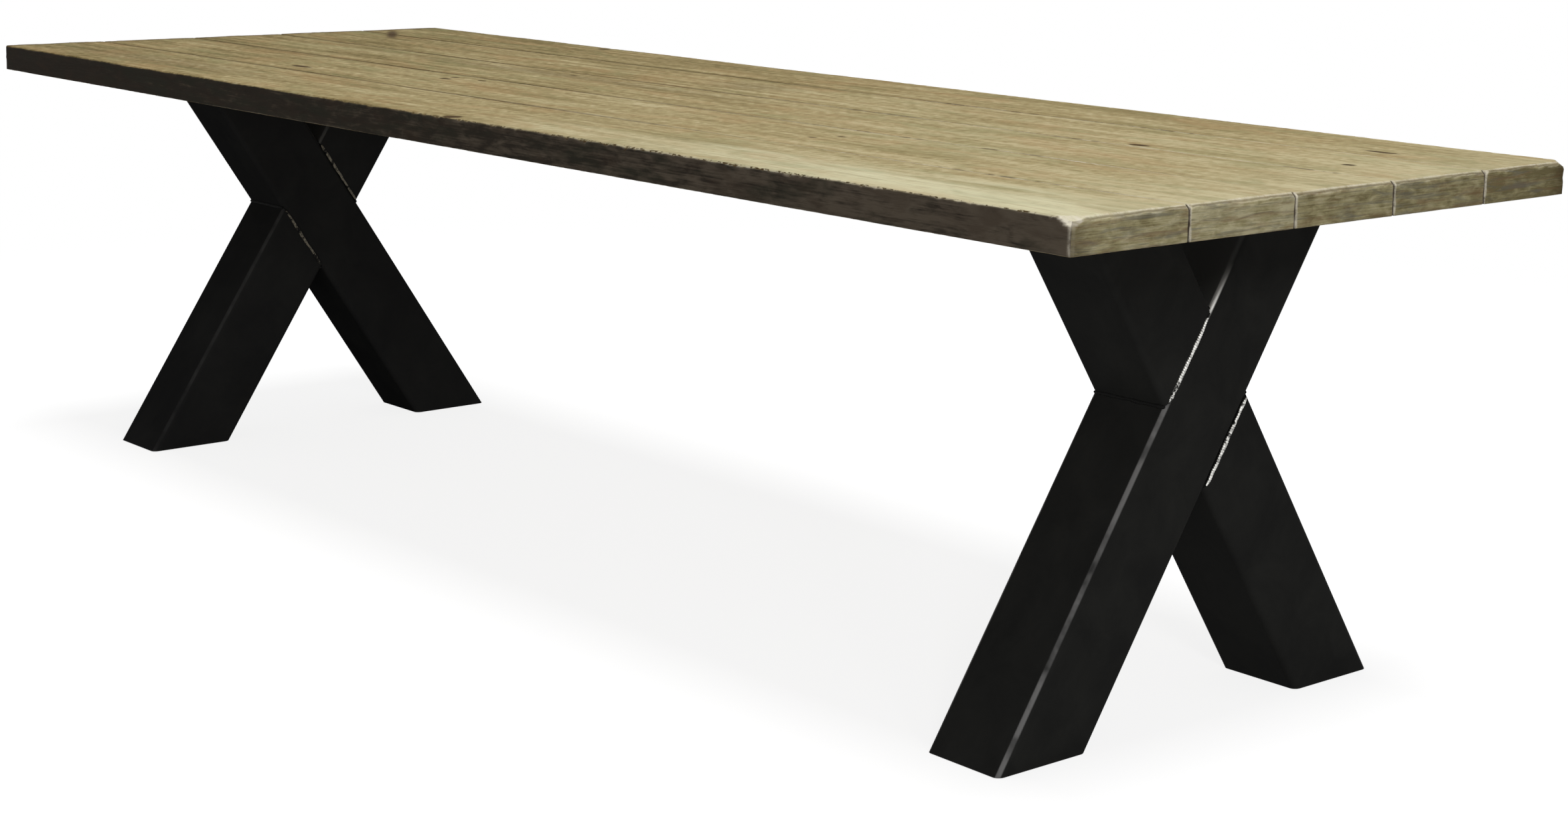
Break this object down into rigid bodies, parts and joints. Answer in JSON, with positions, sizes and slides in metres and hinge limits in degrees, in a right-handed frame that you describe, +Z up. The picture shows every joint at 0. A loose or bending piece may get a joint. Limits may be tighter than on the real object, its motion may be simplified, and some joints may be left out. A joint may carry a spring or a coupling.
{
  "type": "sawbuck table",
  "caption": "Long dining table with a top of thick aged planks on crossed square-tube steel leg frames.",
  "frame": {"origin": "on the floor under the middle of the table", "axes": "+X along the table's length, +Y across it from the front long side to the back, +Z up"},
  "size_m": [2.95, 1, 0.78],
  "materials": {
    "aged_plank": "aged, bare, matt",
    "tongue_wood": "sawn",
    "black_steel": "matt black powder coat",
    "weld_metal": "bare weld bead",
    "zinc_steel": "zinc plated",
    "glide_pad": "matt"
  },
  "bodies": {
    "root": {"back_inner_plank": "aged_plank", "back_inner_tongue": "tongue_wood", "back_plank": "aged_plank", "back_tongue": "tongue_wood", "channel_screws": "zinc_steel", "channel_washers": "zinc_steel", "front_inner_plank": "aged_plank", "front_inner_tongue": "tongue_wood", "front_plank": "aged_plank", "front_tongue": "tongue_wood", "left_back_foot_plate": "black_steel", "left_back_glide": "glide_pad", "left_coach_screws": "zinc_steel", "left_cross_welds": "weld_metal", "left_front_foot_plate": "black_steel", "left_front_glide": "glide_pad", "left_long_tube": "black_steel", "left_lower_tube": "black_steel", "left_plate_welds": "black_steel", "left_top_plate": "black_steel", "left_upper_tube": "black_steel", "left_washers": "zinc_steel", "middle_plank": "aged_plank", "right_back_foot_plate": "black_steel", "right_back_glide": "glide_pad", "right_coach_screws": "zinc_steel", "right_cross_welds": "weld_metal", "right_front_foot_plate": "black_steel", "right_front_glide": "glide_pad", "right_long_tube": "black_steel", "right_lower_tube": "black_steel", "right_plate_welds": "black_steel", "right_top_plate": "black_steel", "right_upper_tube": "black_steel", "right_washers": "zinc_steel", "stiffener_channel": "black_steel"}
  },
  "joints": []
}
